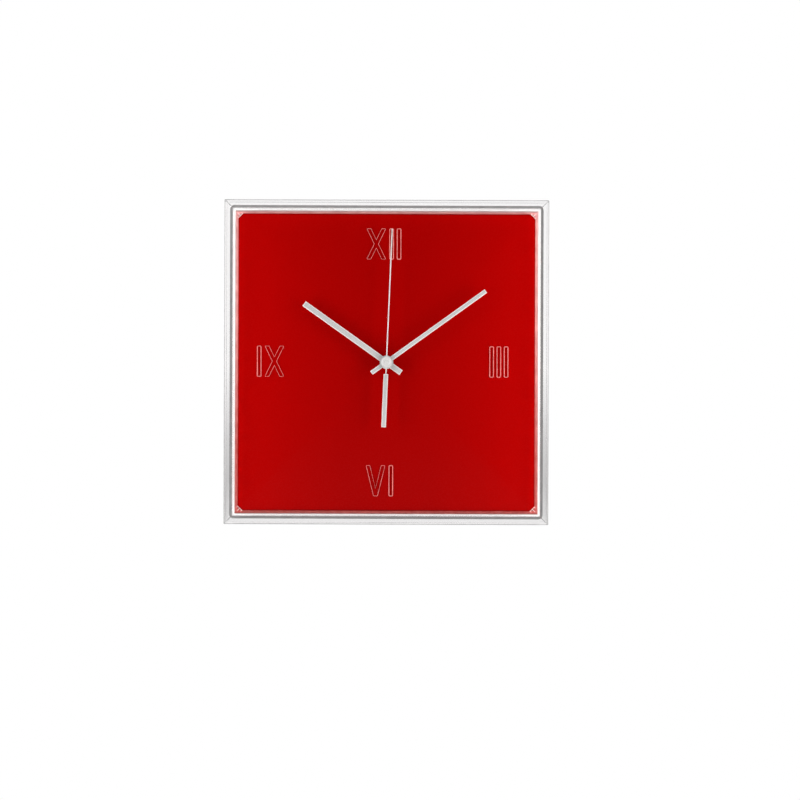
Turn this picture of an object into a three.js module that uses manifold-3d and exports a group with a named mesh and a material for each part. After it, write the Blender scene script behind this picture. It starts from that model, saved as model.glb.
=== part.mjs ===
// A square wall clock: a deep clear acrylic frame, a red dial with raised outlined numerals, three flat
// hands and a one-cell quartz movement with its whole gear train.
//
// Millimetres. +Z is up and +X is to the right as the clock is read. The wall is the plane y = 0 and the
// clock stands out of it towards -Y, so a depth d in this file is the distance from the wall, y = -d.
// Pieces are made around the hands' axis. The finished clock is then lowered, so that the origin is the
// seat at the top of the keyhole slot, where the wall hook carries it.

import * as THREE from "three";
import { mergeVertices } from "three/addons/utils/BufferGeometryUtils.js";
import Module from "manifold-3d";

// Driving dimensions

const GAP = 0.3; // between two pieces that touch in the real clock
const RUN = 0.07; // radial clearance of a turning shaft

const CASE_SIDE = 300;
const CASE_DEPTH = 42;
const BAND = 5.3; // front face of the frame
const BEVEL = 2.4; // bevel at the band's inner edge
const BAND_FALL = 0.2; // the band slopes inward by this much
const EDGE_BREAK = 0.8;
const LEDGE_INNER = 256; // opening in the ledge that the carrier lies on
const LEDGE_BACK = 17.8;
const LEDGE_THICK = 2.5;

const CARRIER_SIDE = 282;
const CARRIER_THICK = 5;
const CARRIER_BEVEL = 1.3;
const DIAL_SIDE = 275.6;
const DIAL_THICK = 3;
const DIAL_CORNER = 4.4;
const SHAFT_HOLE = 4.4;

const RIB_HEIGHT = 0.6; // raised outline of the numerals
const RIB_WIDTH = 0.8;
const NUMERAL_HEIGHT = 29;
const NUMERAL_REACH = 109.9; // from the hands' axis to the middle of XII and of VI
const NUMERAL_LIFT = 0.7; // III and IX stand this much above the axis
const STROKE_HALF = 2.1; // half the width of a stroke, measured across it
const STROKE_CORNER = 1.3;
const SLANT_SPREAD = 7.1; // how far a slanting stroke's middle line goes sideways

const MOVEMENT_SIDE = 56;
const MOVEMENT_BACK = 3.2;
const MOVEMENT_DEPTH = 16;
const SHELL = 1.2;
const FLOOR = 1; // thickness of the movement's front wall
const BATTERY_RADIUS = 7.25;
const BATTERY_LENGTH = 49.5;
const TROUGH_TOP = -12.4;
const TROUGH_BOTTOM = -27.2;
const DIVIDER_TOP = -11.2;
const HANG_HEIGHT = 35.5; // keyhole seat above the hands' axis
const KEYHOLE_SLOT = 2.3;
const KEYHOLE_HEAD = 4.5;

const BUSHING_RADIUS = 4;
const HOUR_PIPE = 2.55;
const MINUTE_PIPE = 1.65;
const SECOND_SHAFT = 0.5;
const PIVOT = 0.4;
const SETTING_ARBOR = 1;

// Times shown by the hands, as angles clockwise from twelve
const HOUR_ANGLE = 305.3;
const MINUTE_ANGLE = 54.2;
const SECOND_ANGLE = 2.3;

// Where the arbors stand, from the hands' axis: distance and direction in degrees from +X towards +Z
const polar = (radius, degrees) => {
  const angle = THREE.MathUtils.degToRad(degrees);
  return [radius * Math.cos(angle), radius * Math.sin(angle)];
};
const TRAIN_DISTANCE = 10.8;
const MOTION_DISTANCE = 12;
const ROTOR_DISTANCE = 8.4;
const CENTRE = [0, 0];
const THIRD_AT = polar(TRAIN_DISTANCE, 185);
const INTERMEDIATE_AT = polar(TRAIN_DISTANCE, 10);
const MOTION_AT = polar(MOTION_DISTANCE, 120);
const [rotorX, rotorZ] = polar(ROTOR_DISTANCE, 75);
const ROTOR_AT = [INTERMEDIATE_AT[0] + rotorX, INTERMEDIATE_AT[1] + rotorZ];

// Solids: joining and cutting

const wasm = await Module();
wasm.setup();

function toSolid(geometry) {
  const bare = geometry.clone();
  bare.deleteAttribute("normal");
  bare.deleteAttribute("uv");
  const merged = mergeVertices(bare, 1e-4);
  const corners = merged.index.array;
  const kept = [];
  for (let i = 0; i < corners.length; i += 3) {
    const [a, b, c] = [corners[i], corners[i + 1], corners[i + 2]];
    if (a !== b && b !== c && c !== a) kept.push(a, b, c);
  }
  const vertProperties = merged.attributes.position.array;
  return new wasm.Manifold(new wasm.Mesh({ numProp: 3, vertProperties, triVerts: new Uint32Array(kept) }));
}

function fromSolid(solid) {
  const { vertProperties, triVerts } = solid.getMesh();
  const geometry = new THREE.BufferGeometry();
  geometry.setAttribute("position", new THREE.BufferAttribute(vertProperties, 3));
  geometry.setIndex(new THREE.BufferAttribute(triVerts, 1));
  geometry.computeVertexNormals();
  return geometry;
}

const join = (...pieces) => fromSolid(pieces.map(toSolid).reduce((a, b) => a.add(b)));
const cut = (piece, ...tools) =>
  fromSolid(tools.map(toSolid).reduce((rest, tool) => rest.subtract(tool), toSolid(piece)));

// Shapes: each is made around the hands' axis, between two depths from the wall

const CUT = 1; // how far a cutting tool runs past the face it cuts

// A flat outline of [x, z] points, as a plate between two depths.
function plate(points, back, front) {
  const outline = new THREE.Shape(points.map(([x, z]) => new THREE.Vector2(x, z)));
  const geometry = new THREE.ExtrudeGeometry(outline, { depth: front - back, bevelEnabled: false });
  return geometry.rotateX(Math.PI / 2).translate(0, -back, 0);
}

function block(left, right, bottom, top, back, front) {
  const geometry = new THREE.BoxGeometry(right - left, front - back, top - bottom);
  return geometry.translate((left + right) / 2, -(back + front) / 2, (bottom + top) / 2);
}

// A turned piece. The profile is a list of [radius, depth], from the back to the front.
function turned(profile, sides = 24, turn = 0) {
  const points = profile.map(([radius, depth]) => new THREE.Vector2(radius, -depth)).reverse();
  return new THREE.LatheGeometry(points, sides, turn);
}

function disc(radius, back, front, sides = 24) {
  return turned([[0, back], [radius, back], [radius, front], [0, front]], sides);
}

function tube(inner, outer, back, front, sides = 24) {
  return turned([[inner, back], [outer, back], [outer, front], [inner, front], [inner, back]], sides);
}

// A square piece made as a four-sided turned one. Its profile holds half widths in place of radii.
function squareTurned(profile) {
  const corners = profile.map(([half, depth]) => [half * Math.SQRT2, depth]);
  return turned(corners, 4, Math.PI / 4);
}

const at = ([x, z], geometry) => geometry.translate(x, 0, z);

// A cutting tool for a round hole through a wall, between the wall's two faces.
const bearing = (place, radius, back, front) => at(place, disc(radius, back - CUT, front + CUT, 16));

// Materials

function finish(color, roughness, metalness = 0) {
  return new THREE.MeshStandardMaterial({ color, roughness, metalness });
}

const clearAcrylic = () => {
  const material = finish(0xe9eeee, 0.05);
  material.transparent = true;
  material.opacity = 0.3;
  return material;
};
const redAcrylic = () => finish(0xa80a08, 0.25);
const greyAluminium = () => finish(0xc9c9c9, 0.45, 0.7);
const blackPlastic = () => finish(0x1b1b1c, 0.55);
const whitePlastic = () => finish(0xe6e3da, 0.5);
const brass = () => finish(0xb98f45, 0.35, 1);
const steel = () => finish(0xa9abae, 0.35, 1);
const copper = () => finish(0xa85a2c, 0.4, 1);
const rubber = () => finish(0x161616, 0.9);
const siliconSteel = () => finish(0x8b8d90, 0.5, 1);

// The clock

const clock = new THREE.Group();
clock.position.z = -HANG_HEIGHT;

function add(name, geometry, material, place = CENTRE, degrees = 0) {
  const mesh = new THREE.Mesh(geometry, material);
  mesh.name = name;
  mesh.position.set(place[0], 0, place[1]);
  mesh.rotation.y = THREE.MathUtils.degToRad(degrees);
  clock.add(mesh);
}

// Frame, carrier and dial

const SCREW_PLACES = [[-132.5, -100], [132.5, -100], [132.5, 100], [-132.5, 100]];
const SCREW_HOLE = 1.7;
const ledgeFront = LEDGE_BACK + LEDGE_THICK;
const carrierBack = ledgeFront + GAP;
const carrierFront = carrierBack + CARRIER_THICK;
const dialBack = carrierFront + GAP;
const dialFront = dialBack + DIAL_THICK;

function clearCase() {
  const outer = CASE_SIDE / 2;
  const inner = outer - BAND - BEVEL;
  const ledge = LEDGE_INNER / 2;
  const bandInnerDepth = CASE_DEPTH - BAND_FALL;
  const ring = squareTurned([
    [inner, 0],
    [outer, 0],
    [outer, CASE_DEPTH - EDGE_BREAK],
    [outer - EDGE_BREAK, CASE_DEPTH],
    [outer - BAND, bandInnerDepth],
    [inner, bandInnerDepth - BEVEL],
    [inner, ledgeFront],
    [ledge, ledgeFront],
    [ledge, LEDGE_BACK],
    [inner, LEDGE_BACK],
    [inner, 0],
  ]);
  const holes = SCREW_PLACES.map((place) => bearing(place, SCREW_HOLE, LEDGE_BACK, ledgeFront));
  return cut(ring, ...holes);
}

function dialCarrier() {
  const half = CARRIER_SIDE / 2;
  const slab = squareTurned([
    [0, carrierBack],
    [half, carrierBack],
    [half, carrierFront - CARRIER_BEVEL],
    [half - CARRIER_BEVEL, carrierFront],
    [0, carrierFront],
  ]);
  const blindEnd = carrierFront - 2 * CUT;
  const holes = SCREW_PLACES.map((place) => bearing(place, SCREW_HOLE, carrierBack, blindEnd));
  return cut(slab, disc(SHAFT_HOLE, carrierBack - CUT, carrierFront + CUT), ...holes);
}

const asVectors = (points) => points.map(([x, z]) => new THREE.Vector2(x, z));
const direction = (from, to) => to.clone().sub(from).normalize();
const leftOf = (heading) => new THREE.Vector2(-heading.y, heading.x);

// Moves every side of a counterclockwise outline inwards, keeping its corners sharp.
function shrunk(points, by) {
  const corners = asVectors(points);
  const inward = corners.map((corner, i) => leftOf(direction(corner, corners[(i + 1) % corners.length])));
  return corners.map((corner, i) => {
    const before = inward.at(i - 1);
    const after = inward[i];
    const shift = before.clone().add(after).multiplyScalar(by / (1 + before.dot(after)));
    return corner.add(shift).toArray();
  });
}

// Rounds the outward corners of a counterclockwise outline.
function rounded(points, radius) {
  const STEPS = 3;
  const corners = asVectors(points);
  return corners.flatMap((corner, i) => {
    const before = direction(corners.at(i - 1), corner);
    const after = direction(corner, corners[(i + 1) % corners.length]);
    const turn = Math.atan2(before.cross(after), before.dot(after));
    if (turn <= 0) return [corner.toArray()];
    const centre = corner.clone()
      .addScaledVector(before, -radius * Math.tan(turn / 2))
      .addScaledVector(leftOf(before), radius);
    const start = Math.atan2(-before.x, before.y);
    const angles = Array.from({ length: STEPS + 1 }, (_, step) => start + (step / STEPS) * turn);
    return angles.map((angle) => [centre.x + radius * Math.cos(angle), centre.y + radius * Math.sin(angle)]);
  });
}

// Numerals, as the outlines of their letters. Every letter is cut off level at its top and bottom.
const HALF_HEIGHT = NUMERAL_HEIGHT / 2;
const levelHalf = (slope) => STROKE_HALF * Math.hypot(1, slope); // half a slanting stroke's width, level

function letterI(x, z) {
  const half = STROKE_HALF;
  const outline = [[half, -HALF_HEIGHT], [half, HALF_HEIGHT], [-half, HALF_HEIGHT], [-half, -HALF_HEIGHT]];
  return outline.map(([dx, dz]) => [x + dx, z + dz]);
}

function letterX(x, z) {
  const slope = SLANT_SPREAD / HALF_HEIGHT;
  const half = levelHalf(slope);
  const [far, near, high] = [SLANT_SPREAD + half, SLANT_SPREAD - half, HALF_HEIGHT];
  const notch = half / slope;
  const outline = [
    [half, 0], [far, high], [near, high], [0, notch], [-near, high], [-far, high],
    [-half, 0], [-far, -high], [-near, -high], [0, -notch], [near, -high], [far, -high],
  ];
  return outline.map(([dx, dz]) => [x + dx, z + dz]);
}

function letterV(x, z) {
  const slope = SLANT_SPREAD / NUMERAL_HEIGHT;
  const half = levelHalf(slope);
  const [far, near] = [SLANT_SPREAD + half, SLANT_SPREAD - half];
  const outline = [
    [half, -HALF_HEIGHT], [far, HALF_HEIGHT], [near, HALF_HEIGHT], [0, half / slope - HALF_HEIGHT],
    [-near, HALF_HEIGHT], [-far, HALF_HEIGHT], [-half, -HALF_HEIGHT],
  ];
  return outline.map(([dx, dz]) => [x + dx, z + dz]);
}

function numeralOutlines() {
  const [top, side, bottom] = [NUMERAL_REACH, NUMERAL_LIFT, -NUMERAL_REACH];
  const twelve = [letterX(-9.8, top), letterI(4.4, top), letterI(11.3, top)];
  const three = [letterI(97.6, side), letterI(104.3, side), letterI(111, side)];
  const six = [letterV(-9.8, bottom), letterI(4.4, bottom)];
  const nine = [letterI(-118.1, side), letterX(-104, side)];
  return [...twelve, ...three, ...six, ...nine];
}

// A rib that runs along the inside of a letter's outline.
function outlineRib(outline) {
  const outside = plate(rounded(outline, STROKE_CORNER), dialFront - CUT, dialFront + RIB_HEIGHT);
  const inside = rounded(shrunk(outline, RIB_WIDTH), STROKE_CORNER - RIB_WIDTH);
  return cut(outside, plate(inside, dialFront - 2 * CUT, dialFront + CUT));
}

function dial() {
  const half = DIAL_SIDE / 2;
  const short = half - DIAL_CORNER;
  const outline = [
    [-short, -half], [short, -half], [half, -short], [half, short],
    [short, half], [-short, half], [-half, short], [-half, -short],
  ];
  const slab = join(plate(outline, dialBack, dialFront), ...numeralOutlines().map(outlineRib));
  return cut(slab, disc(SHAFT_HOLE, dialBack - CUT, dialFront + CUT));
}

// A pan-headed screw, driven from behind through the ledge.
function carrierScrew() {
  const headFront = LEDGE_BACK - GAP;
  const headBack = headFront - 1.8;
  const tip = carrierFront - CUT - 2 * GAP;
  return turned([
    [0, headBack], [1.9, headBack], [2.8, headBack + 0.8], [2.8, headFront], [1.4, headFront],
    [1.4, tip - 0.8], [0.7, tip], [0, tip],
  ], 12);
}

add("clear_case", clearCase(), clearAcrylic());
add("dial_carrier", dialCarrier(), clearAcrylic());
add("dial", dial(), redAcrylic());
SCREW_PLACES.forEach((place, i) => add(`carrier_screw_${i + 1}`, carrierScrew(), steel(), place));

// Movement shells

const movementFront = MOVEMENT_BACK + MOVEMENT_DEPTH;
const floorBack = movementFront - FLOOR;
const coverFront = MOVEMENT_BACK + SHELL;
const half = MOVEMENT_SIDE / 2;
const wall = half - SHELL;

const GEAR_PLATE = { left: -21, right: 17.9, bottom: -10.9, top: 17.5, back: 13, front: 14 };
const POST_PLACES = [[-19, 15.5], [-19, -9], [16, -9]];
const POST_RADIUS = 1.3;
const POST_PIN = 0.7;
const CONTACT_NOTCH = { left: 21.6, right: 24.4, back: 14.9, front: 16.1 };
const STRIP_NOTCH = { back: 11.6, front: 15.9 };

function movementBase() {
  const TAB_THICK = 2;
  const TAB_HALF = 12;
  const TAB_TOP = 41;
  const shell = block(-half, half, -half, half, MOVEMENT_BACK, movementFront);
  const tabOutline = [
    [-TAB_HALF, half - CUT], [TAB_HALF, half - CUT], [TAB_HALF, TAB_TOP - 5],
    [TAB_HALF - 5, TAB_TOP], [5 - TAB_HALF, TAB_TOP], [-TAB_HALF, TAB_TOP - 5],
  ];
  const tab = plate(tabOutline, MOVEMENT_BACK, MOVEMENT_BACK + TAB_THICK);
  const outside = MOVEMENT_BACK - CUT;
  const gearRoom = block(-wall, wall, DIVIDER_TOP, wall, outside, floorBack);
  const trough = block(-wall, wall, TROUGH_BOTTOM, TROUGH_TOP, outside, floorBack);
  const dividerLow = TROUGH_TOP - CUT;
  const dividerHigh = DIVIDER_TOP + CUT;
  const tabNotch = block(
    CONTACT_NOTCH.left, CONTACT_NOTCH.right, dividerLow, dividerHigh, CONTACT_NOTCH.back, CONTACT_NOTCH.front,
  );
  const stripNotch = block(wall - 1.1, wall, dividerLow, dividerHigh, STRIP_NOTCH.back, STRIP_NOTCH.front);
  const keyholeHead = at([0, HANG_HEIGHT - 3], disc(KEYHOLE_HEAD, outside, MOVEMENT_BACK + TAB_THICK + CUT));
  const keyholeSlot = at([0, HANG_HEIGHT], disc(KEYHOLE_SLOT, outside, MOVEMENT_BACK + TAB_THICK + CUT));
  const posts = POST_PLACES.map((place) => at(place, turned([
    [0, GEAR_PLATE.back - 0.4],
    [POST_PIN, GEAR_PLATE.back - 0.4],
    [POST_PIN, GEAR_PLATE.front + GAP],
    [POST_RADIUS, GEAR_PLATE.front + GAP],
    [POST_RADIUS, floorBack + FLOOR / 2],
    [0, floorBack + FLOOR / 2],
  ], 12)));
  const hollow = cut(
    join(shell, tab), gearRoom, trough, tabNotch, stripNotch, keyholeHead, keyholeSlot,
    disc(BUSHING_RADIUS + GAP, floorBack - CUT, movementFront + CUT),
  );
  return join(hollow, ...posts);
}

function movementCover() {
  const lid = block(-wall + GAP, wall - GAP, DIVIDER_TOP + GAP, wall - GAP, MOVEMENT_BACK, coverFront);
  const holes = [CENTRE, THIRD_AT, INTERMEDIATE_AT, ROTOR_AT].map((place) =>
    bearing(place, PIVOT + RUN, MOVEMENT_BACK, coverFront));
  return cut(lid, ...holes, bearing(MOTION_AT, SETTING_ARBOR + RUN, MOVEMENT_BACK, coverFront));
}

function gearPlate() {
  const { left, right, bottom, top, back, front } = GEAR_PLATE;
  const sheet = block(left, right, bottom, top, back, front);
  const arbors = [THIRD_AT, INTERMEDIATE_AT, ROTOR_AT];
  const pivots = arbors.map((place) => bearing(place, PIVOT + RUN, back, front));
  const pins = POST_PLACES.map((place) => bearing(place, POST_PIN + GAP, back, front));
  return cut(
    sheet, ...pivots, ...pins,
    bearing(CENTRE, MINUTE_PIPE + RUN, back, front),
    bearing(MOTION_AT, SETTING_ARBOR + RUN, back, front),
  );
}

add("movement_base", movementBase(), blackPlastic());
add("movement_cover", movementCover(), blackPlastic());
add("gear_plate", gearPlate(), whitePlastic());

// Threaded bushing and the parts that clamp the movement to the dial

const FLANGE_RADIUS = 5.6;
const flangeBack = movementFront + GAP;
const flangeFront = flangeBack + 0.8;
const washerBack = dialFront + GAP;
const washerFront = washerBack + 0.5;
const nutBack = washerFront + GAP;
const nutFront = nutBack + 2.3;
const bushingFront = nutFront + 0.9;

function threadedBushing() {
  const bore = HOUR_PIPE + RUN;
  return turned([
    [bore, floorBack],
    [BUSHING_RADIUS, floorBack],
    [BUSHING_RADIUS, flangeBack],
    [FLANGE_RADIUS, flangeBack],
    [FLANGE_RADIUS, flangeFront],
    [BUSHING_RADIUS, flangeFront],
    [BUSHING_RADIUS, bushingFront - 0.5],
    [BUSHING_RADIUS - 0.5, bushingFront],
    [bore, bushingFront],
    [bore, floorBack],
  ], 32);
}

function hexNut() {
  const CORNER_RADIUS = 6;
  const bore = disc(BUSHING_RADIUS + GAP, nutBack - CUT, nutFront + CUT);
  return cut(disc(CORNER_RADIUS, nutBack, nutFront, 6), bore);
}

add("threaded_bushing", threadedBushing(), brass());
add("rubber_gasket", tube(FLANGE_RADIUS + GAP, 12, flangeBack, flangeFront), rubber());
add("steel_washer", tube(BUSHING_RADIUS + GAP, 6.1, washerBack, washerFront), steel());
add("hex_nut", hexNut(), brass());

// Gears. Teeth are plain tapered blocks, thin enough to roll through the mesh with play on both sides.

const WHEEL_TOOTH = { rise: 0.8, fall: 1.15, root: 0.56, tip: 0 };
const PINION_TOOTH = { rise: 0.7, fall: 1.15, root: 0.42, tip: 0.22 };

function gear({ teeth, module, phase = 0, form = WHEEL_TOOTH }, back, front) {
  const pitch = (2 * Math.PI) / teeth;
  const rootRadius = (teeth / 2 - form.fall) * module;
  const tipRadius = (teeth / 2 + form.rise) * module;
  const flanks = [[rootRadius, -form.root / 2], [tipRadius, form.tip / 2], [rootRadius, form.root / 2]];
  if (form.tip > 0) flanks.splice(1, 0, [tipRadius, -form.tip / 2]);
  const points = [];
  for (let i = 0; i < teeth; i++)
    for (const [radius, side] of flanks) {
      const angle = phase + (i + side) * pitch;
      points.push([radius * Math.cos(angle), radius * Math.sin(angle)]);
    }
  return plate(points, back, front);
}

// The phase that puts a gap of the driven gear on a tooth of the driver, along the line of centres.
function meshedPhase(teeth, driver, driverAt, drivenAt) {
  const line = Math.atan2(drivenAt[1] - driverAt[1], drivenAt[0] - driverAt[0]);
  return line + Math.PI - Math.PI / teeth - ((driver.phase - line) * driver.teeth) / teeth;
}

const pinion = (teeth, module) => ({ teeth, module, phase: 0, form: PINION_TOOTH });

function wheel(teeth, module, driver, driverAt, place) {
  return { teeth, module, phase: meshedPhase(teeth, driver, driverAt, place), form: WHEEL_TOOTH };
}

const rotorLeaves = pinion(8, 0.3);
const intermediateTeeth = wheel(48, 0.3, rotorLeaves, ROTOR_AT, INTERMEDIATE_AT);
const intermediateLeaves = pinion(8, 0.45);
const secondTeeth = wheel(40, 0.45, intermediateLeaves, INTERMEDIATE_AT, CENTRE);
const secondLeaves = pinion(8, (2 * TRAIN_DISTANCE) / 68);
const thirdTeeth = wheel(60, secondLeaves.module, secondLeaves, CENTRE, THIRD_AT);
const thirdLeaves = pinion(8, (2 * TRAIN_DISTANCE) / 72);
const minuteTeeth = wheel(64, thirdLeaves.module, thirdLeaves, THIRD_AT, CENTRE);
const minuteLeaves = pinion(12, (2 * MOTION_DISTANCE) / 48);
const motionTeeth = wheel(36, minuteLeaves.module, minuteLeaves, CENTRE, MOTION_AT);
const motionLeaves = pinion(10, (2 * MOTION_DISTANCE) / 50);
const hourTeeth = wheel(40, motionLeaves.module, motionLeaves, MOTION_AT, CENTRE);

const pivotBack = MOVEMENT_BACK + 0.4;
const pivotFront = GEAR_PLATE.front - 0.2;
const coverPlay = coverFront + GAP;
const platePlay = GEAR_PLATE.back - GAP;

// An arbor with a thin pivot at each end, in the cover and in the gear plate.
const arbor = (radius) => turned([
  [0, pivotBack], [PIVOT, pivotBack], [PIVOT, coverPlay], [radius, coverPlay],
  [radius, platePlay], [PIVOT, platePlay], [PIVOT, pivotFront], [0, pivotFront],
], 16);

add("rotor_magnet", tube(0.75, 3, 5.6, 8, 24), siliconSteel(), ROTOR_AT);
add("rotor_pinion", join(arbor(0.68), gear(rotorLeaves, 8.2, 9.9)), whitePlastic(), ROTOR_AT);
add(
  "intermediate_wheel",
  join(arbor(0.9), gear(intermediateLeaves, 6, 8.6), gear(intermediateTeeth, 8.5, 9.3)),
  whitePlastic(),
  INTERMEDIATE_AT,
);
add(
  "third_wheel",
  join(arbor(0.8), gear(thirdTeeth, 9.9, 10.7), gear(thirdLeaves, 10.6, 12.6)),
  whitePlastic(),
  THIRD_AT,
);

// The three coaxial members that carry the hands

const SHAFT_BORE = SECOND_SHAFT + RUN;
const secondShaftFront = 39.2;
const minutePipeFront = 37.2;
const hourPipeFront = 35.5;

add("second_shaft", turned([
  [0, pivotBack], [PIVOT, pivotBack], [PIVOT, coverPlay], [SECOND_SHAFT, coverPlay],
  [SECOND_SHAFT, secondShaftFront], [0, secondShaftFront],
], 16), steel());
const shaftHole = (back, front) => disc(SHAFT_BORE, back - CUT, front + CUT, 16);
add(
  "second_wheel",
  cut(join(disc(2, 5.4, 6.5), gear(secondTeeth, 6.4, 7.2), gear(secondLeaves, 7.1, 11)), shaftHole(5.4, 11)),
  whitePlastic(),
);
add(
  "minute_wheel",
  cut(
    join(
      gear(minuteTeeth, 11.4, 12.2),
      disc(MINUTE_PIPE, 12.1, minutePipeFront, 32),
      gear(minuteLeaves, GEAR_PLATE.front + GAP, 16.2),
    ),
    shaftHole(11.4, minutePipeFront),
  ),
  whitePlastic(),
);
add(
  "hour_wheel",
  cut(
    join(gear(hourTeeth, 16.6, 17.4), disc(HOUR_PIPE, 17.3, hourPipeFront, 32)),
    disc(MINUTE_PIPE + RUN, 16.6 - CUT, hourPipeFront + CUT, 32),
  ),
  whitePlastic(),
);

// Motion wheel on the setting arbor, which runs back through the cover to the knob

const knobBack = 0.9;
const KNOB_BORE_FRONT = 2.4;

add(
  "motion_wheel",
  join(
    disc(SETTING_ARBOR, knobBack + 0.6 + GAP, 17.6, 16),
    gear(motionTeeth, 14.6, 15.4),
    gear(motionLeaves, 15.3, 17.6),
  ),
  whitePlastic(),
  MOTION_AT,
);

// A thumb knob with a grooved rim, pushed on the arbor behind the cover.
function settingKnob() {
  const GROOVES = 18;
  const KNOB_RADIUS = 6.5;
  const front = MOVEMENT_BACK - GAP;
  const module = (2 * KNOB_RADIUS) / (GROOVES + 2);
  const grip = { rise: 1, fall: 0, root: 0.9, tip: 0.5 };
  const rim = gear({ teeth: GROOVES, module, form: grip }, knobBack, front);
  return cut(rim, disc(SETTING_ARBOR + RUN, knobBack + 0.6, KNOB_BORE_FRONT + CUT, 16));
}
add("setting_knob", settingKnob(), blackPlastic(), MOTION_AT);

// Stepping motor: stator plate, core, bobbin and winding

const COIL = { left: 2.8, right: 23.2, height: 22, depth: 8.1 };
const STATOR_BACK = 6.3;
const STATOR_FRONT = 7.3;

function stator() {
  const leftArm = [[-0.5, 24], [-0.5, 18.5], [7.5, 8.9], [10, 13], [2.4, 19.2], [2.4, 24]];
  const rightArm = [[23.6, 24], [23.6, 19.2], [16, 13], [18, 7.5], [26.3, 18.5], [26.3, 24]];
  const arms = [leftArm, rightArm].map((points) => plate(points, STATOR_BACK, STATOR_FRONT));
  const ring = at(ROTOR_AT, disc(5.4, STATOR_BACK, STATOR_FRONT));
  const rotorRoom = at(ROTOR_AT, disc(3.5, STATOR_BACK - CUT, STATOR_FRONT + CUT));
  return cut(join(...arms, ring), rotorRoom);
}

// A round piece along X at the coil's place: [radius, x] profile from left to right.
function coilTurned(profile, sides = 20) {
  const points = profile.map(([radius, x]) => new THREE.Vector2(radius, x));
  const geometry = new THREE.LatheGeometry(points, sides).rotateZ(-Math.PI / 2);
  return geometry.translate(0, -COIL.depth, COIL.height);
}

function coilBobbin() {
  const [bore, barrel, flange] = [1.1, 1.5, 2.7];
  const { left, right } = COIL;
  return coilTurned([
    [bore, left], [flange, left], [flange, left + 0.8], [barrel, left + 0.8],
    [barrel, right - 0.8], [flange, right - 0.8], [flange, right], [bore, right], [bore, left],
  ]);
}

const windingEnds = [COIL.left + 0.8 + GAP, COIL.right - 0.8 - GAP];
const windingProfile = [
  [1.8, windingEnds[0]], [2.55, windingEnds[0]], [2.55, windingEnds[1]], [1.8, windingEnds[1]],
  [1.8, windingEnds[0]],
];
add("stator", stator(), siliconSteel());
add("coil_core", block(-0.3, 26.1, 21.4, 22.6, STATOR_FRONT + GAP, STATOR_FRONT + GAP + 1), siliconSteel());
add("coil_bobbin", coilBobbin(), whitePlastic());
add("coil_winding", coilTurned(windingProfile), copper());

// Electronics

const BOARD = { left: 18.6, right: 25.6, bottom: -10.4, top: 17, back: 14.2, front: 15 };

function circuitBoard() {
  const { left, right, bottom, top, back, front } = BOARD;
  return block(left, right, bottom, top, back, front);
}

// A drop of black resin over the chip.
function timingChip() {
  const seat = BOARD.back - GAP;
  const profile = [[0, seat - 1.2], [1.4, seat - 1.1], [2.4, seat - 0.5], [2.6, seat], [0, seat]];
  return at([22.1, 3], turned(profile, 20));
}

function quartzCrystal() {
  const can = new THREE.CylinderGeometry(1, 1, 6, 16).rotateX(Math.PI / 2);
  return can.translate(22.1, -(BOARD.back - GAP - 1), 11.5);
}

add("circuit_board", circuitBoard(), finish(0x2f6b45, 0.5));
add("timing_chip", timingChip(), blackPlastic());
add("quartz_crystal", quartzCrystal(), steel());

// Battery and its contacts

const BATTERY = {
  left: -24.8,
  height: (TROUGH_TOP + TROUGH_BOTTOM) / 2,
  depth: MOVEMENT_BACK + 0.2 + BATTERY_RADIUS,
};

function battery() {
  const { left, height, depth } = BATTERY;
  const right = left + BATTERY_LENGTH;
  const profile = [
    [0, left], [BATTERY_RADIUS - 0.6, left], [BATTERY_RADIUS, left + 0.6], [BATTERY_RADIUS, right - 0.6],
    [BATTERY_RADIUS - 0.6, right], [2.6, right], [2.6, right + 1], [0, right + 1],
  ];
  const points = profile.map(([radius, x]) => new THREE.Vector2(radius, x));
  return new THREE.LatheGeometry(points, 32).rotateZ(-Math.PI / 2).translate(0, -depth, height);
}

const STRIP = 0.4;

function positiveContact() {
  const right = wall - 0.4;
  const pad = block(right - STRIP, right, -24, -15, 6, 15.6);
  const rise = block(right - STRIP, right, -15.5, -5, 12, 15.6);
  return join(pad, rise);
}

function negativeContact() {
  const left = -wall + 0.4;
  const pad = block(left, left + STRIP, -24, -12.8, 6, 17.6);
  const run = block(left, 24, -13.4, -12.8, 15.3, 17.6);
  const tab = block(22, 24, -13.4, -7, 15.3, 15.7);
  const spring = new THREE.CylinderGeometry(1.6, 3, 0.8, 16).rotateZ(-Math.PI / 2);
  spring.translate(left + STRIP + 0.35, -BATTERY.depth, BATTERY.height);
  return join(pad, run, tab, spring);
}

add("battery", battery(), finish(0x3b4148, 0.35, 0.5));
add("positive_contact", positiveContact(), steel());
add("negative_contact", negativeContact(), steel());

// Hands. Each is a flat blade with square ends, made pointing to twelve and then turned to its time.

const HAND_BOSS = 6.2;

const blade = (width, from, to, back, front) => block(-width / 2, width / 2, from, to, back, front);

function hand({ width, length, tail, back, front, bore }) {
  const body = join(blade(width, -tail, length, back, front), disc(HAND_BOSS, back - 0.2, front, 32));
  return cut(body, disc(bore, back - CUT, front + CUT, 32));
}

// Disc with a shallow ring pressed in it, thin blade, and the bar that balances the blade.
function secondHand() {
  const [back, front] = [38.2, 38.8];
  const DISC_RADIUS = 5.1;
  const disk = turned([
    [0, back], [DISC_RADIUS, back], [DISC_RADIUS, front + 0.2], [3.6, front + 0.2], [3.2, front], [0, front],
  ], 32);
  const body = join(disk, blade(1, -12, 123.4, back, front), blade(4.2, -60.2, -11, back, front));
  return cut(body, disc(1.1 + RUN, back - CUT, front + CUT, 20));
}

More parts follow.
